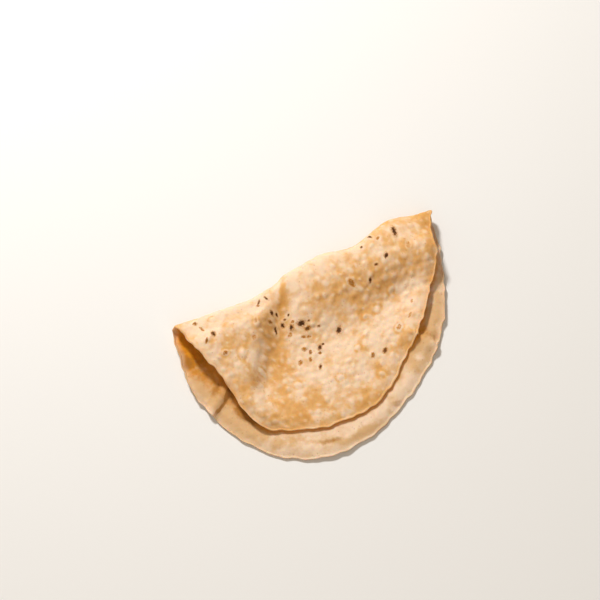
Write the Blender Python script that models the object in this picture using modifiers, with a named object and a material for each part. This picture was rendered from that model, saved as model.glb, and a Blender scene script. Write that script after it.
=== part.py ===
"""Chapati: one thin round wheat flatbread, folded over on itself, lying on its lower half.

The bread is rolled out as an uneven round sheet and folded across its middle. Flat, a point on it
is (u, v): u runs along the fold and v across it. Folded, v below the fold is the lower half, which
lies on the table, and v above it is the flap, which comes back over it. X runs along the fold, +Y
points to the fold and Z up, in metres.
"""

import math

import bmesh
import bpy
from mathutils import Vector

# Driving sizes of the flat bread.
THICKNESS = 0.0018
MEAN_RADIUS = 0.0900
SOFTENING = 0.0009  # rounding the cage draws its rim and crown in, so both are set out by this much
MIDDLE = (0.002, 0.004)  # of the rolled round, measured from the middle of the fold
# The hand-rolled outline: (waves round the rim, height as a share of the radius, place in degrees).
ROLLED_WAVES = ((1, 0.130, -131), (2, 0.079, 157), (3, 0.071, -10), (4, 0.011, 70), (6, 0.017, 47))
# Blunt corners and flats of the rim: (place and half width in degrees, height as a share of the radius).
RIM_BULGES = ((1, 6, 0.007), (13, 8, -0.063), (30, 9, -0.008), (70, 11, -0.024), (90, 11, 0.038),
              (110, 11, 0.020), (130, 11, 0.067), (150, 11, -0.007), (176, 7, -0.026), (-170, 9, -0.032))

# The fold at places along u: the outer radius of its half turn, and how far its crown wanders in Y.
FOLD_RADII = ((-0.080, 0.0065), (-0.050, 0.0075), (-0.019, 0.0066), (0.016, 0.0075), (0.060, 0.0081),
              (0.082, 0.0069))
CROWN_LINE = ((-0.080, 0.0022), (-0.036, -0.0015), (-0.021, 0.0004), (-0.010, 0.0042), (0.012, 0.0062),
              (0.032, 0.0022), (0.058, 0.0083), (0.080, 0.0037))
CROWN_REACH = 0.016

# The flap comes down from the fold to lie on the lower half, between these distances past the half turn.
LAYER_GAP = 0.0005
DESCENT_STARTS = ((-0.060, 0.008), (-0.018, 0.002), (0.010, 0.003), (0.050, 0.007))
DESCENT_ENDS = ((-0.060, 0.067), (-0.018, 0.040), (0.010, 0.035), (0.050, 0.031))
CONTACT_SOFTNESS = 0.0008

# Swells and hollows: (start, end, half width, height), each a soft ridge along a line on the table.
FLAP_RIDGES = (
    ((-0.078, -0.020), (-0.060, -0.066), 0.011, 0.0032),  # the flap's left edge stands off
    ((-0.066, -0.016), (-0.036, -0.012), 0.011, 0.0021),  # the left cheek
    ((-0.025, -0.008), (-0.052, -0.040), 0.0080, 0.0016),  # its crest above the valley
    ((-0.016, -0.006), (-0.050, -0.052), 0.0072, -0.0040),  # the valley from the notch to the rim
    ((0.072, -0.022), (0.046, -0.056), 0.010, 0.0036),  # the flap's right edge stands off
    ((0.020, -0.056), (-0.014, -0.066), 0.014, 0.0010),  # a low swell in the middle
)
LOWER_RIDGES = (
    ((-0.088, -0.006), (-0.092, -0.034), 0.010, 0.0046),  # the left rim turns up to the fold
    ((-0.084, -0.057), (-0.070, -0.046), 0.0050, 0.0017),  # a pleat in the left rim
    ((0.076, -0.020), (0.062, -0.064), 0.008, 0.0022),  # the right rim rides up
    ((0.040, -0.060), (0.050, -0.074), 0.0055, 0.0013),  # a crease across it
    ((-0.040, -0.106), (-0.004, -0.110), 0.007, 0.0010),  # the front rim rides up
)

# The cage: cells along and across the fold, with the rows drawn together at the fold.
CELLS_ALONG = 20
CELLS_ACROSS = 28
FOLD_CROWDING = 0.6

CRUST_COLOUR = (0.66, 0.41, 0.19, 1.0)
CRUST_ROUGHNESS = 0.78


def along(table, u):
    """The value at u of a table of (place, value), eased from each place to the next."""
    if u <= table[0][0]:
        return table[0][1]
    for (start, before), (end, after) in zip(table, table[1:]):
        if u <= end:
            return before + (after - before) * smooth((u - start) / (end - start))
    return table[-1][1]


def smooth(t):
    t = min(max(t, 0.0), 1.0)
    return t * t * (3 - 2 * t)


def rim_radius(angle):
    """The rolled round's radius towards an angle from its middle."""
    waves = sum(share * math.cos(count * angle - math.radians(place))
                for count, share, place in ROLLED_WAVES)
    bulges = 0.0
    for place, half_width, share in RIM_BULGES:
        away = (math.degrees(angle) - place + 180) % 360 - 180
        bulges += share * math.exp(-(away / half_width) ** 2)
    return MEAN_RADIUS * (1 + waves + bulges) + SOFTENING


def ridges(table, x, y):
    """The height at (x, y) of all the soft ridges in a table."""
    height = 0.0
    for start, end, half_width, rise in table:
        line = Vector(end) - Vector(start)
        point = Vector((x, y)) - Vector(start)
        share = min(max(point.dot(line) / line.length_squared, 0.0), 1.0)
        away = (point - line * share).length / half_width
        height += rise * math.exp(-away * away)
    return height


def lower_height(x, y):
    """How far the lower half's underside stands off the table; a tenth of a millimetre counts as none."""
    return max(ridges(LOWER_RIDGES, x, y) - 0.0001, 0.0)


def folded(u, v):
    """Where the outer skin at (u, v) on the flat bread comes to lie once it is folded."""
    radius = along(FOLD_RADII, u)
    turned = v + radius  # length of bread past the start of the half turn
    half_turn = math.pi * radius
    crown = (along(CROWN_LINE, u) + SOFTENING) * math.exp(-((turned - half_turn / 2) / CROWN_REACH) ** 2)
    if turned <= 0:
        return Vector((u, v + crown, lower_height(u, v)))
    lift = lower_height(u, -radius)
    if turned < half_turn:
        angle = turned / radius
        y = radius * math.sin(angle) - radius
        z = radius * (1 - math.cos(angle))
        return Vector((u, y + crown, z + lift))
    back = turned - half_turn  # length of flap past the fold
    y = -radius - back
    rest = lower_height(u, y) + 2 * THICKNESS + LAYER_GAP
    start = along(DESCENT_STARTS, u)
    fall = smooth((back - start) / (along(DESCENT_ENDS, u) - start))
    above = (2 * radius + lift - rest) * (1 - fall) + ridges(FLAP_RIDGES, u, y) * smooth(back / 0.010)
    above = (above + math.hypot(above, CONTACT_SOFTNESS)) / 2
    return Vector((u, y + crown, rest + above))


def rolled_out(bread):
    """Turns the square grid in bread into the rolled round, with its rows drawn together at the fold."""
    for vertex in bread.verts:
        x = vertex.co.x
        y = vertex.co.y * (FOLD_CROWDING + (1 - FOLD_CROWDING) * vertex.co.y ** 2)
        across = Vector((x * math.sqrt(1 - y * y / 2), y * math.sqrt(1 - x * x / 2)))
        radius = rim_radius(math.atan2(across.y, across.x))
        vertex.co.x = MIDDLE[0] + across.x * radius
        vertex.co.y = MIDDLE[1] + across.y * radius


def make_chapati(collection, crust):
    """The folded bread: its outer skin from a grid, given its thickness inwards and softened."""
    bread = bmesh.new()
    bmesh.ops.create_grid(bread, x_segments=CELLS_ALONG, y_segments=CELLS_ACROSS, size=1.0)
    rolled_out(bread)
    for vertex in bread.verts:
        vertex.co = folded(vertex.co.x, vertex.co.y)
    bmesh.ops.reverse_faces(bread, faces=bread.faces)  # the outer skin faces down where it lies on the table
    mesh = bpy.data.meshes.new("chapati")
    bread.to_mesh(mesh)
    bread.free()
    mesh.shade_smooth()
    mesh.materials.append(crust)
    chapati = bpy.data.objects.new("chapati", mesh)
    collection.objects.link(chapati)
    thickness = chapati.modifiers.new("thickness", "SOLIDIFY")
    thickness.thickness = THICKNESS
    thickness.offset = -1
    thickness.use_even_offset = True
    softness = chapati.modifiers.new("softness", "SUBSURF")
    softness.levels = 1
    softness.render_levels = 1
    return chapati


def middle(places):
    places = list(places)
    return (min(places) + max(places)) / 2


def set_on_origin(chapati):
    """Moves the mesh so that the origin is at the middle of the underside of its box."""
    bpy.context.view_layer.update()
    shape = chapati.evaluated_get(bpy.context.evaluated_depsgraph_get()).to_mesh()
    middle_x = middle(vertex.co.x for vertex in shape.vertices)
    middle_y = middle(vertex.co.y for vertex in shape.vertices)
    for vertex in chapati.data.vertices:
        vertex.co.x -= middle_x
        vertex.co.y -= middle_y


def crust_material():
    crust = bpy.data.materials.new("crust")
    crust.use_nodes = True
    surface = crust.node_tree.nodes["Principled BSDF"]
    surface.inputs["Base Color"].default_value = CRUST_COLOUR
    surface.inputs["Roughness"].default_value = CRUST_ROUGHNESS
    surface.inputs["Metallic"].default_value = 0.0
    return crust


def main():
    for obj in list(bpy.data.objects):
        bpy.data.objects.remove(obj)
    collection = bpy.data.collections.new("chapati")
    bpy.context.scene.collection.children.link(collection)
    chapati = make_chapati(collection, crust_material())
    set_on_origin(chapati)


main()
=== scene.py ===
# %% [markdown]
# # A chapati, folded in half
#
# A chapati is a thin round of whole-wheat dough, rolled out by hand and baked on a hot iron pan. Bubbles of steam lift
# small blisters, and wherever one touches the iron it browns or chars. This lesson builds one that has been folded once
# and laid down: first the shape of the sheet, then its blisters, then the colours of the crust.
#
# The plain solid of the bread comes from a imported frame. It says where the bread lies and how big it is, and the
# detailed bread made here takes its place.

# %% Load the frame
import math

import bpy
import numpy as np
from mathutils import Matrix, Vector


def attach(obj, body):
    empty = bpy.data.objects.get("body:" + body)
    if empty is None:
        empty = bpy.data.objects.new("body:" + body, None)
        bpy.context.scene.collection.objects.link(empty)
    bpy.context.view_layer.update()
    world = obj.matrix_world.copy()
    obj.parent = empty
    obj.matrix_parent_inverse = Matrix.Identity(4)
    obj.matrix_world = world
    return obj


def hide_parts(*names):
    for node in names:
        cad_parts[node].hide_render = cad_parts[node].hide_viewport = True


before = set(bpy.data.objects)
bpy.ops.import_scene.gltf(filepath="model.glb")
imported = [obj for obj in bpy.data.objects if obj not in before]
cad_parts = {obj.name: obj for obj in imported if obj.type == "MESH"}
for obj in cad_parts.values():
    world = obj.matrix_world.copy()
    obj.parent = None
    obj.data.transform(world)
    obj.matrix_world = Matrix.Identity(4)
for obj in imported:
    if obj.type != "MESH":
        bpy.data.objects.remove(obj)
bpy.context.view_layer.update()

# %% [markdown]
# ## Rolling out the round
#
# A rolling pin never leaves a perfect circle. The rim is written as waves round a mean radius, plus a few blunt corners
# and flats, so that one short formula gives the radius at any angle. The sheet starts as a square grid whose vertices
# are then moved into the round. A grid is better here than a filled circle: its cells stay nearly square, so blisters
# raised on it later come out even, and there is no pole in the middle.
#
# Flat, a point of the bread is (u, v), with u along the fold and v across it. Every later step works from u and v.

# %% The rim's outline
THICKNESS = 0.0018
MEAN_RADIUS = 0.0900
ROUND_MIDDLE = (0.002, 0.004)
ROLLED_WAVES = ((1, 0.130, -131), (2, 0.079, 157), (3, 0.071, -10), (4, 0.011, 70), (6, 0.017, 47))
RIM_BULGES = ((1, 6, 0.007), (13, 8, -0.063), (30, 9, -0.008), (70, 11, -0.024), (90, 11, 0.038),
              (110, 11, 0.020), (130, 11, 0.067), (150, 11, -0.007), (176, 7, -0.026), (-170, 9, -0.032))
RIM_RIPPLES = ((23, 0.0024, 20), (37, 0.0026, 75), (58, 0.0028, 140), (83, 0.0022, 10), (127, 0.0012, 60))


def rim_radius(angle):
    """The round's radius towards an angle from its middle: waves, then corners, then small ripples."""
    share = np.ones_like(angle)
    for count, height, place in ROLLED_WAVES + RIM_RIPPLES:
        share += height * np.cos(count * angle - math.radians(place))
    for place, half_width, height in RIM_BULGES:
        away = (np.degrees(angle) - place + 180) % 360 - 180
        share += height * np.exp(-(away / half_width) ** 2)
    return MEAN_RADIUS * share


def inside_rim(u, v):
    """How far in from the rim points of the flat round lie, and their angle from its middle."""
    across_u, across_v = u - ROUND_MIDDLE[0], v - ROUND_MIDDLE[1]
    angle = np.arctan2(across_v, across_u)
    return rim_radius(angle) - np.hypot(across_u, across_v), angle


print("rim radius, mm:", np.round(1000 * rim_radius(np.radians([-90.0, 0.0, 90.0, 180.0])), 1))

# %% The grid, moved into the round
GRID_CELLS = 108
FOLD_CROWDING = 0.85  # under 1, the rows stand closer together at the fold


def read_vertices(mesh, what="co"):
    """A mesh's vertex places, or their normals, as an array of rows."""
    rows = np.empty(len(mesh.vertices) * 3)
    mesh.vertices.foreach_get(what, rows)
    return rows.reshape(-1, 3)


def place_vertices(mesh, places):
    mesh.vertices.foreach_set("co", np.ascontiguousarray(places, dtype=np.float32).ravel())
    mesh.update()


bpy.ops.object.select_all(action="DESELECT")
bpy.ops.mesh.primitive_grid_add(x_subdivisions=GRID_CELLS, y_subdivisions=GRID_CELLS, size=2, calc_uvs=False)
bread = bpy.context.object
bread.name = "chapati_bread"
bread.data.name = "chapati_bread"

square = read_vertices(bread.data)
square_x = square[:, 0]
square_y = square[:, 1] * (FOLD_CROWDING + (1 - FOLD_CROWDING) * square[:, 1] ** 2)
round_x = square_x * np.sqrt(1 - square_y ** 2 / 2)
round_y = square_y * np.sqrt(1 - square_x ** 2 / 2)
reach = rim_radius(np.arctan2(round_y, round_x))
flat_u = ROUND_MIDDLE[0] + round_x * reach
flat_v = ROUND_MIDDLE[1] + round_y * reach
print("rolled out:", len(flat_u), "vertices,", round(1000 * np.ptp(flat_u)), "by", round(1000 * np.ptp(flat_v)), "mm")

# %% [markdown]
# ## Helpers for soft shapes
#
# Dough has no sharp features, so a few soft functions describe all of it: an eased step, a table of sizes eased from
# one entry to the next, a bell-shaped ridge along a line, and a gentle random unevenness. The last is a sum of plane
# waves with random headings. It costs one line of numpy for each wave, and the same seed gives the same bread.

# %% Soft steps, ridges and unevenness


def smooth(share):
    share = np.clip(share, 0.0, 1.0)
    return share * share * (3 - 2 * share)


def eased(table, place):
    """A table of (place, value) read at every place, eased from each entry to the next."""
    value = np.full_like(place, table[0][1])
    for (start, before), (end, after) in zip(table, table[1:]):
        value += (after - before) * smooth((place - start) / (end - start))
    return value


def beside(start, end, x, y):
    """How far points are from the line between two points; the second is negative on the line's right."""
    run_x, run_y = end[0] - start[0], end[1] - start[1]
    share = np.clip(((x - start[0]) * run_x + (y - start[1]) * run_y) / (run_x ** 2 + run_y ** 2), 0.0, 1.0)
    away_x, away_y = x - start[0] - share * run_x, y - start[1] - share * run_y
    return np.hypot(away_x, away_y), run_x * away_y - run_y * away_x


def ridges(table, x, y):
    """The height of all the soft ridges in a table of (start, end, left half width, right half width, height)."""
    height = np.zeros_like(x)
    for start, end, left_width, right_width, rise in table:
        away, side = beside(start, end, x, y)
        height += rise * np.exp(-(away / np.where(side > 0, left_width, right_width)) ** 2)
    return height


def uneven(x, y, wavelength, seed, waves=28):
    """A soft random field of about -2 to 2, whose bumps are about half a wavelength across."""
    draw = np.random.default_rng(seed)
    field = np.zeros_like(x)
    for heading, phase, stretch in draw.uniform((0, 0, 0.7), (2 * math.pi, 2 * math.pi, 1.5), (waves, 3)):
        pitch = wavelength * stretch
        field += np.cos(2 * math.pi / pitch * (x * math.cos(heading) + y * math.sin(heading)) + phase)
    return field * math.sqrt(2 / waves)


# %% [markdown]
# ## Folding it
#
# The lower half lies on the table, a half turn carries the sheet round, and the flap comes back down over it. Bending a
# grid with a formula gives full control of where the flap lies, which cloth simulation would not. Soft ridges then raise
# or press down parts of the sheet: the cheek beside the valley, the swell on the right, the rims that turn up. A ridge
# that is steep on one side makes the pleat and the crease in the lower half.

# %% The fold's sizes
FOLD_RADII = ((-0.080, 0.0062), (-0.050, 0.0072), (-0.019, 0.0063), (0.016, 0.0072), (0.060, 0.0077),
              (0.082, 0.0066))
CROWN_LINE = ((-0.080, 0.0022), (-0.036, -0.0015), (-0.021, 0.0004), (-0.010, 0.0042), (0.012, 0.0062),
              (0.032, 0.0022), (0.058, 0.0081), (0.080, 0.0037))
CROWN_REACH = 0.016
CROWN_WAVER = 0.00015
LAYER_GAP = 0.0002
DESCENT_STARTS = ((-0.060, 0.008), (-0.018, 0.002), (0.010, 0.003), (0.050, 0.007))
DESCENT_ENDS = ((-0.060, 0.067), (-0.018, 0.040), (0.010, 0.035), (0.050, 0.031))
CONTACT_SOFTNESS = 0.0003
FLAP_RIDGES = (
    ((-0.078, -0.020), (-0.060, -0.066), 0.011, 0.011, 0.0027),  # the flap's left edge stands off
    ((-0.066, -0.016), (-0.036, -0.012), 0.011, 0.011, 0.0021),  # the left cheek
    ((-0.025, -0.008), (-0.052, -0.040), 0.008, 0.008, 0.0016),  # its crest above the valley
    ((-0.016, -0.004), (-0.050, -0.052), 0.0088, 0.0062, -0.0037),  # the valley from the notch to the rim
    ((0.072, -0.022), (0.046, -0.056), 0.010, 0.010, 0.0039),  # the flap's right edge stands off
    ((0.020, -0.056), (-0.014, -0.066), 0.014, 0.014, 0.0010),  # a low swell in the middle
    ((-0.060, -0.058), (-0.057, -0.066), 0.006, 0.006, 0.0010),  # the rim curls up by the pleat
)
LOWER_RIDGES = (
    ((-0.088, -0.006), (-0.092, -0.034), 0.010, 0.010, 0.0046),  # the left rim turns up to the fold
    ((-0.085, -0.0552), (-0.069, -0.0432), 0.0044, 0.0006, 0.0032),  # a pleat in the left rim, steep below
    ((0.076, -0.020), (0.062, -0.064), 0.008, 0.008, 0.0022),  # the right rim rides up
    ((0.040, -0.060), (0.050, -0.074), 0.0008, 0.0060, 0.0026),  # a crease across it, steep above
    ((-0.040, -0.106), (-0.004, -0.110), 0.007, 0.007, 0.0010),  # the front rim rides up
)
FOLD_MIDDLE = Vector((0.0008, 0.0481, 0.0))  # where the middle of the fold lies in the frame
print("crown radii, mm:", [1000 * radius for _, radius in FOLD_RADII])

# %% Waviness of each half
SHEET_WAVE = 0.00010
PUFFED_BAND = (0.0055, 0.0045, 0.0005)  # how far in from the rim, half width and height
RUFFLE_HEIGHT = 0.0003
RUFFLE_REACH = 0.007


def lower_height(x, y):
    """How far the lower half stands off the table."""
    height = np.maximum(ridges(LOWER_RIDGES, x, y) - 0.0001, 0.0)
    from_rim, _ = inside_rim(x, y)
    place, half_width, rise = PUFFED_BAND
    puffed = rise * np.exp(-((from_rim - place) / half_width) ** 2)
    wave = SHEET_WAVE * np.maximum(uneven(x, y, 0.024, seed=3) + 1, 0) * smooth(-y / 0.020)
    return height + puffed + wave


def flap_wave(u, v):
    """How much higher the flap lies for its waviness and for the ruffle along its rim."""
    from_rim, angle = inside_rim(u, v)
    ruffle = np.maximum(uneven(angle * MEAN_RADIUS, np.zeros_like(u), 0.017, seed=8), 0)
    ruffle *= RUFFLE_HEIGHT * np.exp(-(from_rim / RUFFLE_REACH) ** 2)
    return ruffle + SHEET_WAVE * np.maximum(uneven(u, v, 0.019, seed=5) + 1, 0)


# %% The folded sheet


def folded(u, v):
    """Where the outer skin at (u, v) on the flat bread comes to lie once it is folded."""
    radius = eased(FOLD_RADII, u)
    turned = v + radius  # length of bread past the start of the half turn
    half_turn = math.pi * radius
    back = turned - half_turn  # length of flap past the fold
    crown_line = eased(CROWN_LINE, u) + CROWN_WAVER * uneven(u, np.zeros_like(u), 0.016, seed=2)
    crown = crown_line * np.exp(-((turned - half_turn / 2) / CROWN_REACH) ** 2)
    lift = lower_height(u, -radius)
    angle = np.clip(turned / radius, 0.0, math.pi)
    flap_y = -radius - back
    rest = lower_height(u, flap_y) + 2 * THICKNESS + LAYER_GAP
    start = eased(DESCENT_STARTS, u)
    fall = smooth((back - start) / (eased(DESCENT_ENDS, u) - start))
    above = (2 * radius + lift - rest) * (1 - fall) + ridges(FLAP_RIDGES, u, flap_y) * smooth(back / 0.010)
    above = (above + np.hypot(above, CONTACT_SOFTNESS)) / 2 + flap_wave(u, v) * smooth(back / 0.010)
    parts = (turned <= 0, back < 0)
    y = np.select(parts, (v, radius * np.sin(angle) - radius), flap_y)
    z = np.select(parts, (lower_height(u, v), radius * (1 - np.cos(angle)) + lift), rest + above)
    return np.column_stack((u, y + crown, z))


place_vertices(bread.data, folded(flat_u, flat_v) + np.array(FOLD_MIDDLE))
print("folded: crown height, mm:", round(1000 * read_vertices(bread.data)[:, 2].max(), 1))

# %% [markdown]
# ## Giving the sheet its thickness
#
# The sheet is still a surface with no thickness. Each vertex first keeps its flat coordinates in an attribute, so that
# blisters and colours can follow the dough rather than the folded shape. Then Solidify makes the second skin, and a
# Subdivision Surface rounds the cut rim and gives enough vertices for blisters. The first half of the vertices that
# Solidify leaves is the outer skin, which touched the pan, and this is marked too.

# %% Flat coordinates, then the second skin


def mark(mesh, name, values, domain="POINT"):
    """Keeps one number, or one row of three, for each vertex or face corner in a named attribute."""
    kind, slot = ("FLOAT", "value") if values.ndim == 1 else ("FLOAT_VECTOR", "vector")
    attribute = mesh.attributes.get(name) or mesh.attributes.new(name, kind, domain)
    attribute.data.foreach_set(slot, np.ascontiguousarray(values, dtype=np.float32).ravel())


def marked(mesh, name):
    values = np.empty(len(mesh.vertices))
    mesh.attributes[name].data.foreach_get("value", values)
    return values


mark(bread.data, "flat_u", flat_u)
mark(bread.data, "flat_v", flat_v)

bpy.ops.object.mode_set(mode="EDIT")
bpy.ops.mesh.select_all(action="SELECT")
bpy.ops.mesh.flip_normals()  # the outer skin faces down where it lies on the table
bpy.ops.object.mode_set(mode="OBJECT")

thickness = bread.modifiers.new("thickness", "SOLIDIFY")
thickness.thickness = THICKNESS
thickness.offset = -1
thickness.use_even_offset = True
bpy.ops.object.modifier_apply(modifier="thickness")
mark(bread.data, "outer", (np.arange(len(bread.data.vertices)) < len(flat_u)).astype(float))
print("two skins:", len(bread.data.vertices), "vertices")

# %% Round the rim
softness = bread.modifiers.new("softness", "SUBSURF")
softness.levels = 1
softness.render_levels = 1
bpy.ops.object.modifier_apply(modifier="softness")
bpy.ops.object.shade_smooth()

dough_u, dough_v, outer = (marked(bread.data, name) for name in ("flat_u", "flat_v", "outer"))
from_rim, _ = inside_rim(dough_u, dough_v)
print("bread:", sum(len(face.vertices) - 2 for face in bread.data.polygons), "triangles")

# %% [markdown]
# ## Blisters
#
# Steam lifts the skin in hundreds of small domes, a few of them as large as a lentil. They are real relief, because
# they show at the rim and in raking light, so each vertex is moved along its normal by the dome that it lies under.
# Most are scattered at random, kept apart from each other, and the largest are listed one by one. Against the table a
# blister can't
# stand out: there the tops stay where they are and the skin between them is drawn in.

# %% Scatter the blisters
BLISTER_TRIES = 2600
BLISTER_SPACING = 0.0036
LARGE_BLISTERS = (  # (u, v, length, width, turn in degrees, height), sizes in millimetres
    (-53.5, 39.5, 7.5, 5.0, -74, 1.00), (-62.0, 35.0, 4.5, 4.0, 0, 0.70), (-34.5, 49.5, 5.0, 3.6, -60, 0.60),
    (-33.0, 66.5, 5.0, 4.4, 24, 0.60), (19.5, 47.0, 4.6, 3.4, -35, 0.75), (28.0, 46.0, 5.6, 4.4, -34, 0.80),
    (-48.0, 52.0, 5.0, 3.6, 70, 0.60), (-10.0, 73.0, 5.2, 4.2, 10, 0.60), (12.0, 82.0, 5.0, 4.0, 40, 0.60),
    (40.0, 40.0, 5.0, 3.8, -50, 0.60), (-60.0, 14.0, 4.4, 3.6, 20, 0.50), (7.0, 62.0, 4.6, 3.6, 0, 0.50),
    (33.5, 62.0, 6.0, 4.6, -33, 0.50),
)
FOOT_PLACE = 1.15  # of the browned ring round a large blister, where 1 is the blister's edge
FOOT_WIDTH = 0.30


def scatter(tries, spacing, seed):
    """Random places on the flat round, no two nearer than the spacing."""
    draw = np.random.default_rng(seed)
    kept = np.empty((0, 2))
    for place in draw.uniform(-0.11, 0.11, (tries, 2)):
        clear = not len(kept) or np.hypot(*(kept - place).T).min() > spacing
        if clear and inside_rim(place[:1], place[1:])[0][0] > 0.002:
            kept = np.vstack((kept, place))
    return kept


def scattered_blisters():
    places = scatter(BLISTER_TRIES, BLISTER_SPACING, seed=11)
    draw = np.random.default_rng(12)
    length = draw.uniform(2.6, 5.6, len(places))
    width = length * draw.uniform(0.6, 0.95, len(places))
    turn = draw.uniform(0, 180, len(places))
    height = draw.uniform(0.15, 0.60, len(places)) * length / 4
    return np.column_stack((1000 * places, length, width, turn, height))


def local_place(spot, u, v):
    """Points in a spot's own directions, where 1 is its edge, from (u, v, length, width, turn)."""
    away_u, away_v = u - 0.001 * spot[0], v - 0.001 * spot[1]
    turn = math.radians(spot[4])
    along = (away_u * math.cos(turn) + away_v * math.sin(turn)) / (0.0005 * spot[2])
    across = (away_v * math.cos(turn) - away_u * math.sin(turn)) / (0.0005 * spot[3])
    return along, across


blisters = np.vstack((scattered_blisters(), LARGE_BLISTERS))
dome = np.zeros_like(dough_u)
dome_height = np.zeros_like(dough_u)
for blister in blisters:
    shape = np.clip(1 - np.hypot(*local_place(blister, dough_u, dough_v)) ** 2, 0, 1) ** 1.5
    dome = np.maximum(dome, shape)
    dome_height = np.maximum(dome_height, 0.001 * blister[5] * shape)
foot = np.zeros_like(dough_u)
for blister in LARGE_BLISTERS:
    away = np.hypot(*local_place(blister, dough_u, dough_v))
    foot = np.maximum(foot, np.exp(-((away - FOOT_PLACE) / FOOT_WIDTH) ** 2))
print(len(blisters), "blisters")

# %% Raise them
PEBBLE_HEIGHT = 0.00013
INNER_SHARE = 0.5  # how much of the relief shows on the inner skin
RIM_CALM = 0.0035  # blisters fade out this near to the rim
CROWN_CALM = 0.5  # and by this share over the fold, which is stretched
RIM_TAPER = 0.0013  # the upper skin comes down by this much at the rim
TAPER_REACH = 0.0070
COVERED_CALM = 0.003  # blisters fade out on the inner skin this far under the flap, where the halves lie close

flap_over = (math.pi - 2) * eased(FOLD_RADII, dough_u) - dough_v  # which v of the flap lies over each point
covered, _ = inside_rim(dough_u, np.where(dough_v < 0, flap_over, dough_v))
places = read_vertices(bread.data)
normals = read_vertices(bread.data, "normal")
pebbles = PEBBLE_HEIGHT * uneven(dough_u, dough_v, 0.0045, seed=21)
calm = 0.25 + 0.75 * smooth(from_rim / RIM_CALM)
calm *= 1 - CROWN_CALM * np.exp(-((dough_v - 0.006) / 0.010) ** 2)
inner_share = INNER_SHARE * (1 - smooth(covered / COVERED_CALM))
relief = (dome_height + pebbles) * calm * (inner_share + (1 - inner_share) * outer)
relief -= RIM_TAPER * smooth(1 - from_rim / TAPER_REACH) * np.maximum(normals[:, 2], 0)
off_table = smooth((places[:, 2] - 0.0003) / 0.0015)
pressed = (0.0001 * dome - 0.0001) * outer * calm
raised = relief * off_table + pressed * (1 - off_table)
places += normals * raised[:, None]
places[:, 2] = np.maximum(places[:, 2], 0.0)
place_vertices(bread.data, places)
print("relief, mm:", round(1000 * raised.min(), 2), "to", round(1000 * raised.max(), 2))

# %% [markdown]
# ## Charred spots
#
# Where a blister's tip pressed on the iron it burned: leaf-shaped specks a few millimetres long, nearly black, some with
# a rust-brown border. They are crisper than the mesh, so they aren't painted on vertices. Instead every face corner
# keeps its place in the directions of the nearest spot, where 1 is the spot's edge. That place changes evenly across a
# face, so the material can draw an edge as sharp as it likes between two vertices.

# %% The spots that show
# (u, v, length, width, turn in degrees, darkness, rust), sizes in millimetres
SPOTS_ON_THE_RIGHT = (
    (57.0, 16.0, 4.8, 2.7, 104, 0.9, 0.4), (43.0, 10.5, 3.6, 1.7, 60, 0.9, 0.2), (46.5, 14.5, 1.8, 1.2, 0, 0.3, 1.0),
    (35.5, 13.0, 1.9, 1.6, 0, 0.8, 0.2), (45.5, 24.0, 3.4, 2.3, -40, 1.0, 0.2), (60.0, 24.5, 2.7, 1.6, -57, 0.2, 0.6),
    (38.0, 25.5, 2.0, 1.5, 17, 0.7, 0.5), (31.0, 31.0, 3.2, 1.7, -57, 0.9, 0.2), (20.5, 28.5, 3.6, 2.2, 72, 0.4, 1.0),
)
SPOTS_IN_THE_MIDDLE = (
    (-15.5, 35.0, 4.7, 3.8, 16, 1.0, 0.4), (-13.5, 39.0, 3.4, 2.5, 6, 0.7, 0.9), (-21.5, 34.5, 3.4, 2.5, -54, 1.0, 0.5),
    (-19.5, 32.0, 1.8, 1.4, 0, 0.3, 1.0), (-25.5, 31.5, 3.2, 2.0, 87, 0.9, 0.3), (-30.5, 33.0, 4.3, 1.6, 105, 0.9, 0.2),
    (-28.5, 23.5, 3.6, 1.8, 100, 1.0, 0.2), (-26.0, 25.0, 2.8, 1.3, 94, 0.9, 0.1), (-20.0, 27.5, 1.8, 1.2, -53, 0.8, 0.1),
    (-23.0, 29.0, 1.8, 1.1, 0, 0.6, 0.4), (-31.5, 28.0, 2.1, 1.7, 79, 0.5, 0.7), (-39.0, 25.5, 3.0, 1.1, -65, 0.3, 0.3),
    (-11.0, 35.5, 1.7, 1.1, 0, 0.6, 0.3), (-7.0, 40.5, 2.2, 1.4, 6, 0.6, 0.3), (-17.5, 42.0, 2.2, 1.3, 25, 0.3, 0.9), (-14.8, 43.3, 1.9, 1.2, 5, 0.1, 1.0),
    (-24.0, 38.0, 2.3, 1.7, -34, 0.1, 0.9), (-12.0, 51.5, 3.6, 2.4, -49, 1.0, 0.4), (-9.5, 50.5, 1.8, 1.4, 0, 0.9, 0.3),
    (-20.5, 48.5, 2.3, 1.8, 25, 0.2, 1.0), (-18.0, 51.5, 2.4, 1.4, -63, 0.5, 0.8), (-13.5, 54.5, 1.8, 1.3, 0, 0.4, 0.9),
    (-20.0, 55.5, 2.4, 1.5, -63, 0.4, 0.9), (-26.0, 55.0, 2.5, 1.7, -46, 0.1, 0.9), (-17.0, 62.0, 3.0, 1.6, -54, 0.8, 0.7),
    (2.5, 47.5, 4.8, 3.2, -48, 1.0, 0.3),
)
SPOTS_ON_THE_LEFT = (
    (-27.5, 14.0, 3.6, 1.2, 71, 0.8, 0.3), (-32.5, 14.5, 3.3, 1.2, -48, 0.7, 0.5), (-34.0, 16.5, 1.8, 1.5, 0, 0.4, 0.8),
    (-63.5, 22.5, 3.4, 2.2, 80, 0.8, 0.6), (-70.0, 12.0, 1.9, 1.7, 28, 0.5, 0.9), (-68.0, 16.5, 2.8, 1.2, 65, 0.3, 0.8),
    (-68.5, 24.5, 2.8, 1.2, -50, 0.5, 0.9), (-62.0, 35.0, 2.0, 1.7, 0, 0.3, 1.0), (-44.0, 34.0, 2.3, 1.6, -37, 0.1, 0.6),
)
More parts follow.
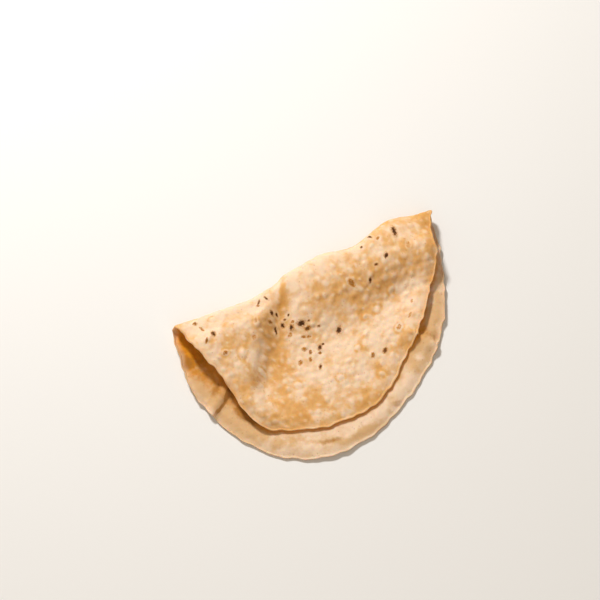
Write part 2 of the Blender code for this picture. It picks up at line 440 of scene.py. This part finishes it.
SPOTS_NEAR_THE_RIM = (
    (20.0, 70.5, 3.3, 2.2, -34, 0.7, 0.7), (12.5, 70.0, 2.4, 1.7, -52, 0.4, 0.9), (33.5, 62.0, 2.6, 1.9, -33, 0.1, 0.8),
    (42.5, 58.5, 3.0, 1.1, -32, 0.1, 0.6), (47.5, 51.5, 2.0, 1.2, -61, 0.1, 0.6),
)


def spots_out_of_sight(count, seed):
    """Random spots for the half of the outer skin that lies on the table."""
    draw = np.random.default_rng(seed)
    u, v = draw.uniform((-82, -104), (78, -8), (count, 2)).T
    length = draw.uniform(1.4, 5.0, count)
    width = length * draw.uniform(0.45, 0.85, count)
    return np.column_stack((u, v, length, width, draw.uniform(0, 180, count),
                            draw.uniform(0.1, 1.0, count), draw.uniform(0.2, 1.0, count)))


spots = np.vstack((SPOTS_ON_THE_RIGHT, SPOTS_IN_THE_MIDDLE, SPOTS_ON_THE_LEFT, SPOTS_NEAR_THE_RIM,
                   spots_out_of_sight(60, seed=31)))
print(len(spots), "charred spots")

# %% Each face corner's place in the nearest spot
NO_SPOT = 9.0  # far outside any spot

corners = np.empty(len(bread.data.loops), dtype=np.int32)
bread.data.loops.foreach_get("vertex_index", corners)
face_corners = corners.reshape(-1, 4)
face_u, face_v, face_outer = (values[face_corners].mean(axis=1) for values in (dough_u, dough_v, outer))

nearest = np.full(len(face_u), NO_SPOT)
corner_place = np.full((len(corners), 3), NO_SPOT)
corner_rust = np.zeros(len(corners))
for spot in spots:
    closeness = np.hypot(*local_place(spot, face_u, face_v))
    closer = (closeness < nearest) & (face_outer > 0.5)
    nearest[closer] = closeness[closer]
    chosen = np.repeat(closer, 4)
    along, across = local_place(spot, dough_u[corners[chosen]], dough_v[corners[chosen]])
    corner_place[chosen] = np.column_stack((along, across, np.full_like(along, spot[5])))
    corner_rust[chosen] = spot[6]
mark(bread.data, "spot_place", corner_place, "CORNER")
mark(bread.data, "spot_rust", corner_rust, "CORNER")
print("faces inside a spot:", int((nearest < 1).sum()))

# %% [markdown]
# ## Where it browned, and where shade is painted
#
# Broad patches of the skin took more or less heat, and some patches are painted shade and painted glow instead: the
# flap's valley and the crease at its notch, the hollows beside its edges and the turned-up left wall. Toward the rim
# the outer skin is mixed toward tan and the inner skin toward floured cream. These are soft, so plain vertex attributes
# carry them: how much a place browned or is painted shaded, where painted shade lies beside the flap, and how high it
# is on a blister. Another keeps the flat coordinates as one vector, with the depth through the sheet as its third part,
# for all the noise in the material.

# %% Browned and pale patches
BROWNED_AND_SHADED_PATCHES = (  # (u, v, length, width, turn in degrees, strength), sizes in millimetres
    (-2.5, 90.5, 30, 16, 8, 0.9), (-42.0, 84.0, 34, 10, -20, 1.3), (30.0, 36.0, 40, 20, -35, 0.3),
    # partly browning and partly painted shade: (48, 36) darkens the swell's lower side, which faces away from the light
    (-60.0, 60.0, 36, 12, -62, 0.4), (12.0, 34.0, 60, 26, 25, 0.2), (48.0, 36.0, 50, 22, -10, 0.5),
    # painted shade: (-33, 35) darkens the valley and (-19, 18) the crease at the notch, where shade falls
    (-33.0, 35.0, 16, 48, 18, 1.5), (-19.0, 18.0, 26, 4.4, 122, 2.2), (-40.0, 62.0, 14, 36, 20, 0.6), (60.0, 18.0, 30, 30, 0, 0.4),
    (80.0, 12.0, 18, 34, 0, 2.0), (30.0, 74.0, 30, 16, -30, 0.6), (-52.0, 76.0, 26, 14, -30, 0.9),
)
PALE_PATCHES = (
    (-48.0, 14.0, 60, 26, 5, 1.0), (-5.0, 8.0, 40, 18, 10, 1.0), (28.0, 62.0, 34, 26, -30, 0.6),
    (-46.0, 44.0, 24, 20, -60, 0.4), (-2.0, 48.0, 30, 20, 20, 0.4), (50.0, 50.0, 24, 14, -35, 0.7),
    (-28.0, 68.0, 46, 28, -15, 0.6),
)
INNER_BROWNED_AND_SHADED_PATCHES = (
    # painted glow: the strongest patch, (-82, -14), turns the turned-up left wall deep orange for light through the
    # bread
    (-82.0, -14.0, 26, 46, 0, 6.0), (-71.0, -42.0, 12, 28, 10, 4.0), (-76.0, -60.0, 22, 16, 40, 1.3),
    (-60.0, -80.0, 20, 30, 40, 0.9), (-66.0, -72.0, 30, 10, -40, 0.6), (-27.0, -98.0, 12, 4, -17, 1.0),
    # painted shade: (41, -63) darkens the lower half above the crease, in the flap's shadow
    (-10.0, -99.0, 22, 6, -4, 2.2), (41.0, -63.0, 36, 9, 34, 3.5), (44.0, -76.0, 14, 12, 0, 1.0),
    # painted shade: (66, -50) darkens the lower half in the shadow beside the flap's right edge
    (66.0, -50.0, 16, 40, -30, 1.2), (30.0, -90.0, 40, 8, 32, 1.0), (-46.0, -97.0, 14, 5, -20, 0.8),
    # painted shade: (48.5, -64.6) at the crease's foot and (-64, -60) in the hollow under the flap's edge by the pleat
    (48.5, -64.6, 18, 8.0, -54, 1.8), (-64.0, -60.0, 12, 24, -16, 2.5),
)


# painted shade: dark brown patches on the lower half where shade falls, along the pleat's fold line, in the hollow
# under the flap's edge, on the left wall and along the shadow lines under the flap's rim
PAINTED_SHADE_PATCHES = (
    (-74.5, -41.3, 10, 6.0, 31, 0.9), (-79.6, -52.2, 13, 1.0, 31, 2.6), (-71.6, -46.2, 9, 1.1, 47, 2.6), (-65.0, -62.0, 14, 7.0, -58, 2.2),
    (-68.7, -47.2, 9, 6.0, 0, 0.9), (-76.0, -24.0, 26, 12, -62, 0.4), (-84.5, -18.0, 15, 7, -75, 0.9),
    (48.5, -64.6, 16, 7.0, -54, 0.6),
    (64.0, -52.0, 12, 4.0, -50, 0.5), (-30.0, -95.5, 16, 3.0, -12, 0.6), (14.0, -92.0, 14, 4.0, 22, 0.5),
)


def patches(table, u, v):
    total = np.zeros_like(u)
    for patch in table:
        total += patch[5] * np.exp(-(np.hypot(*local_place(patch, u, v))) ** 2)
    return total


outer_toast_and_shade = patches(BROWNED_AND_SHADED_PATCHES, dough_u, dough_v) - patches(PALE_PATCHES, dough_u, dough_v)
inner_toast_and_shade = patches(INNER_BROWNED_AND_SHADED_PATCHES, dough_u, dough_v)
toast_and_shade = inner_toast_and_shade + (outer_toast_and_shade - inner_toast_and_shade) * outer
DEPTH_SPREAD = 0.009  # how far apart the noise of the two skins is
# browning, with painted shade in the flap's valley and creases and painted shade and glow on the inner skin
mark(bread.data, "toast_and_shade", toast_and_shade + 0.9 * foot * outer)
# painted shade patches, on the inner skin only
mark(bread.data, "painted_shade", patches(PAINTED_SHADE_PATCHES, dough_u, dough_v) * (1 - outer))
mark(bread.data, "dome", dome)
mark(bread.data, "from_rim", from_rim)
mark(bread.data, "covered", covered)
mark(bread.data, "dough", np.column_stack((dough_u, dough_v, DEPTH_SPREAD * outer)))
print("toast:", round(toast_and_shade.min(), 2), "to", round(toast_and_shade.max(), 2))

# %% [markdown]
# ## Writing shader maths as sums
#
# A material's maths is easier to read as an expression than as a row of nodes. The class below wraps one socket of a
# node tree, and arithmetic on it adds the Math nodes. Every other kind of node comes from its `node` method, which sets
# the node's settings first and then gives its sockets their values or links.

# %% A socket that does arithmetic


class Shade:
    """A socket of a node tree; sums, differences and products of it add Math nodes."""

    def __init__(self, tree, socket):
        self.tree = tree
        self.socket = socket

    def node(self, kind, settings, sockets, output=0):
        """Adds a node with these settings and socket values or links, and wraps one of its outputs."""
        added = self.tree.nodes.new(kind)
        for name, value in settings.items():
            setattr(added, name, value)
        for name, value in sockets.items():
            if isinstance(value, Shade):
                self.tree.links.new(value.socket, added.inputs[name])
            else:
                added.inputs[name].default_value = value
        return Shade(self.tree, added.outputs[output])

    def math(self, operation, first, second):
        return self.node("ShaderNodeMath", {"operation": operation}, {0: first, 1: second})

    def __add__(self, other):
        return self.math("ADD", self, other)

    def __sub__(self, other):
        return self.math("SUBTRACT", self, other)

    def __rsub__(self, other):
        return self.math("SUBTRACT", other, self)

    def __mul__(self, other):
        return self.math("MULTIPLY", self, other)

    __radd__ = __add__
    __rmul__ = __mul__

    def step(self, low, high):
        """Goes softly from 0 at low to 1 at high, or back where low is the greater."""
        settings = {"interpolation_type": "SMOOTHSTEP"}
        return self.node("ShaderNodeMapRange", settings, {"Value": self, "From Min": low, "From Max": high})

    def mix(self, under, over):
        """The colour under where this mask is 0 and the colour over where it is 1."""
        settings = {"data_type": "RGBA", "clamp_factor": True}
        return self.node("ShaderNodeMix", settings, {0: self, 6: under, 7: over}, output=2)

    def noise(self, size, detail=2.0, roughness=0.5, distortion=0.0):
        """Noise on this vector, with bumps of about this size in metres."""
        sockets = {"Vector": self, "Scale": 1 / size, "Detail": detail, "Roughness": roughness,
                   "Distortion": distortion}
        return self.node("ShaderNodeTexNoise", {}, sockets)


print("shader helper ready")

# %% [markdown]
# ## The crust
#
# The skin is cream where it stayed off the iron and golden tan where it touched, in blotches a few millimetres across
# inside broader patches. Blister tops are pale with a tan foot, the flour left on the inner side makes it whiter and
# more matt, and flecks of bran show everywhere. Light also passes through bread this thin, which is what makes its
# shadows glow golden, so the shader scatters light below the surface. The colours also hold painted shade and painted
# glow: the flap's valley and notch are darker, the inner skin is golden brown under the flap's rim and dark brown in
# the hollows and creases beside it, and the turned-up left wall is deep orange.

# %% The crust's colours
CREAM = (0.89, 0.665, 0.465, 1)
TAN = (0.78, 0.44, 0.165, 1)
GOLD = (0.68, 0.34, 0.095, 1)
FLOURED = (0.88, 0.66, 0.47, 1)
FLOURED_TAN = (0.72, 0.46, 0.23, 1)
# painted glow: deep orange standing in for light coming through the thin turned-up wall
GLOW = (0.70, 0.275, 0.016, 1)
# painted shade: golden brown for the inner skin where it lies in the flap's shadow, warm as if lit through the bread
SHADE_UNDER_FLAP = (0.76, 0.315, 0.026, 1)
# painted shade: dark brown for hollows and creases beside the flap
PAINTED_SHADE_BROWN = (0.40, 0.170, 0.030, 1)
PALE_TOP = (0.91, 0.72, 0.52, 1)
BRAN = (0.42, 0.20, 0.07, 1)
RUST = (0.54, 0.22, 0.035, 1)
SCORCHED = (0.24, 0.092, 0.020, 1)
CHAR = (0.075, 0.029, 0.009, 1)

crust = bpy.data.materials.new("baked_crust")
crust.use_nodes = True
surface = crust.node_tree.nodes["Principled BSDF"]
start = Shade(crust.node_tree, None)


def attribute(name, output="Fac"):
    return start.node("ShaderNodeAttribute", {"attribute_name": name}, {}, output)


# %% Mottled skin on both sides
dough = attribute("dough", "Vector")
is_outer = attribute("outer").step(0.25, 0.75)
browning_and_shade = attribute("toast_and_shade")
on_blister = attribute("dome")

broad = dough.noise(0.030, 2, 0.5)
blotch = dough.noise(0.0075, 2, 0.5, 0.3)
fine = dough.noise(0.0017, 3, 0.6)
# the browning attribute also holds painted shade and painted glow, so this mask and the bands from it carry them too
heat_and_shade = 0.60 * blotch + 0.24 * broad + 0.16 * fine + 0.14 * browning_and_shade + (0.03 - 0.09 * on_blister)
tan_share = heat_and_shade.step(0.40, 0.68)
deep = heat_and_shade.step(0.58, 0.86)
outer_skin = deep.mix(tan_share.mix(CREAM, TAN), GOLD)
outer_skin = (on_blister.step(0.1, 1.0) * blotch.step(0.25, 0.60) * 0.36).mix(outer_skin, PALE_TOP)
# beside the flap, the inner skin turns deep orange for light coming through the bread
# painted glow: where the inner patches are strongest, mostly on the turned-up left wall and in the shaded hollows
inner_skin = heat_and_shade.step(0.85, 1.25).mix(heat_and_shade.step(0.46, 0.74).mix(FLOURED, FLOURED_TAN), GLOW)
# painted shade: under the flap's rim and up to 2.5 mm beside it the inner skin takes the golden-brown shadow colour
shade_under_flap = attribute("covered").step(-0.0025, 0.0003)
inner_skin = (shade_under_flap * 0.85).mix(inner_skin, SHADE_UNDER_FLAP)
# by noise
# painted shade: dark brown where shade falls beside the flap's edges, along the pleat and under the front rim, mottled
painted_shade_mask = (attribute("painted_shade") + (blotch - 0.5) * 1.2 + (fine - 0.5) * 0.5).step(0.15, 0.95)
inner_skin = (painted_shade_mask * 0.85).mix(inner_skin, PAINTED_SHADE_BROWN)
skin = is_outer.mix(inner_skin, outer_skin)
crust_edge = attribute("from_rim").step(0.0042, 0.0008)
skin = (crust_edge * 0.4).mix(skin, is_outer.mix(FLOURED, TAN))

# %% Bran flecks and charred spots
flecks = dough.node("ShaderNodeTexVoronoi", {}, {"Vector": dough, "Scale": 1 / 0.0024, "Randomness": 1.0})
fleck = flecks.step(0.22, 0.10) * dough.noise(0.009, 2, 0.5).step(0.42, 0.60)
skin = (fleck * 0.35).mix(skin, BRAN)

spot_place = attribute("spot_place", "Vector")
parts = spot_place.node("ShaderNodeSeparateXYZ", {}, {0: spot_place})
darkness = Shade(crust.node_tree, parts.socket.node.outputs["Z"])
flat_offset = spot_place.node("ShaderNodeVectorMath", {"operation": "MULTIPLY"}, {0: spot_place, 1: (1, 1, 0)})
from_spot = flat_offset.node("ShaderNodeVectorMath", {"operation": "LENGTH"}, {0: flat_offset}, "Value")
ragged = from_spot + (dough.noise(0.0010, 2, 0.6) - 0.5) * 1.5
speckled = dough.noise(0.0008, 2, 0.6).step(0.36, 0.56)
rusted = ragged.step(1.8, 0.8) * (attribute("spot_rust") + 0.35) * (0.40 + 0.60 * speckled)
scorched = ragged.step(1.15, 0.45) * darkness.step(0.0, 0.8)
charred = ragged.step(0.95, 0.25) * darkness.step(0.35, 1.0)
skin = (from_spot.step(2.8, 1.7) * 0.30).mix(skin, PALE_TOP)
skin = (rusted * 0.9).mix(skin, RUST)
skin = scorched.mix(skin, SCORCHED)
skin = charred.mix(skin, CHAR)

# %% The surface
LIGHT_DEPTH = 0.0014

matt = 0.86 - 0.10 * is_outer - 0.12 * charred
grain = (0.6 * fine + 0.25 * blotch + 0.25 * dough.noise(0.0006, 2, 0.6)) - 0.35 * charred
bumped = grain.node("ShaderNodeBump", {}, {"Height": grain, "Strength": 0.8, "Distance": 0.00045})
links = crust.node_tree.links
links.new(skin.socket, surface.inputs["Base Color"])
links.new(matt.socket, surface.inputs["Roughness"])
links.new(bumped.socket, surface.inputs["Normal"])
surface.inputs["Specular IOR Level"].default_value = 0.1
surface.inputs["Subsurface Weight"].default_value = 0.22
surface.inputs["Subsurface Radius"].default_value = (1.0, 0.35, 0.10)
surface.inputs["Subsurface Scale"].default_value = LIGHT_DEPTH
bread.data.materials.append(crust)
print("crust:", len(crust.node_tree.nodes), "nodes")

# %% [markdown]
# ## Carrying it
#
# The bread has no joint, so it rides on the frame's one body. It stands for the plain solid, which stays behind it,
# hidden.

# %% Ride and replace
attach(bread, "root")
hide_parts("chapati")
print("the bread rides on root")

# %% [markdown]
# ## Stage, light and camera
#
# The bread lies on a plain pale floor. A small strong lamp stands behind it on the left, low enough to rake across the
# blisters and to shine into the fold, and a large weak one opens the shadows from the front. The camera looks down from
# the front left through a long lens.

# %% The floor
bpy.ops.mesh.primitive_plane_add(size=4.0, location=(0, 0, -0.0002))
floor = bpy.context.object
floor.name = "floor"
paint = bpy.data.materials.new("floor_paint")
paint.use_nodes = True
paint.node_tree.nodes["Principled BSDF"].inputs["Base Color"].default_value = (0.86, 0.86, 0.85, 1)
paint.node_tree.nodes["Principled BSDF"].inputs["Roughness"].default_value = 0.7
floor.data.materials.append(paint)
print("floor laid")

# %% The lamps


def lamp(name, place, size, energy, colour):
    light = bpy.data.lights.new(name, "AREA")
    light.size = size
    light.energy = energy
    light.color = colour
    holder = bpy.data.objects.new(name, light)
    holder.location = place
    holder.rotation_euler = (-Vector(place)).to_track_quat("-Z", "Y").to_euler()
    bpy.context.scene.collection.objects.link(holder)


lamp("key", (-0.03, 0.92, 0.94), 0.18, 15.0, (1.0, 0.99, 0.98))
lamp("fill", (-0.4, -0.9, 1.0), 1.2, 3.6, (1.0, 0.98, 0.96))
world = bpy.data.worlds.new("studio")
world.use_nodes = True
world.node_tree.nodes["Background"].inputs["Color"].default_value = (1.0, 0.84, 0.65, 1)
world.node_tree.nodes["Background"].inputs["Strength"].default_value = 0.32
bpy.context.scene.world = world
bpy.context.scene.view_settings.view_transform = "Standard"
print("lamps lit")

# %% The camera
VIEW_AZIMUTH = math.radians(-26.4)
VIEW_ELEVATION = math.radians(66.0)
VIEW_DISTANCE = 0.65

back = Vector((math.sin(VIEW_AZIMUTH) * math.cos(VIEW_ELEVATION),
               -math.cos(VIEW_AZIMUTH) * math.cos(VIEW_ELEVATION), math.sin(VIEW_ELEVATION)))
right = Vector((math.cos(VIEW_AZIMUTH), math.sin(VIEW_AZIMUTH), 0))
up = back.cross(right)
aim = FOLD_MIDDLE + Vector((0, 0, 0.0121)) - right * 0.0023 - up * 0.0175
camera = bpy.data.objects.new("camera", bpy.data.cameras.new("camera"))
camera.data.lens = 68.0
camera.data.sensor_width = 36.0
camera.matrix_world = Matrix.Translation(aim + back * VIEW_DISTANCE) @ Matrix((right, up, back)).transposed().to_4x4()
bpy.context.scene.collection.objects.link(camera)
bpy.context.scene.camera = camera
print("camera at", [round(value, 3) for value in camera.matrix_world.translation])
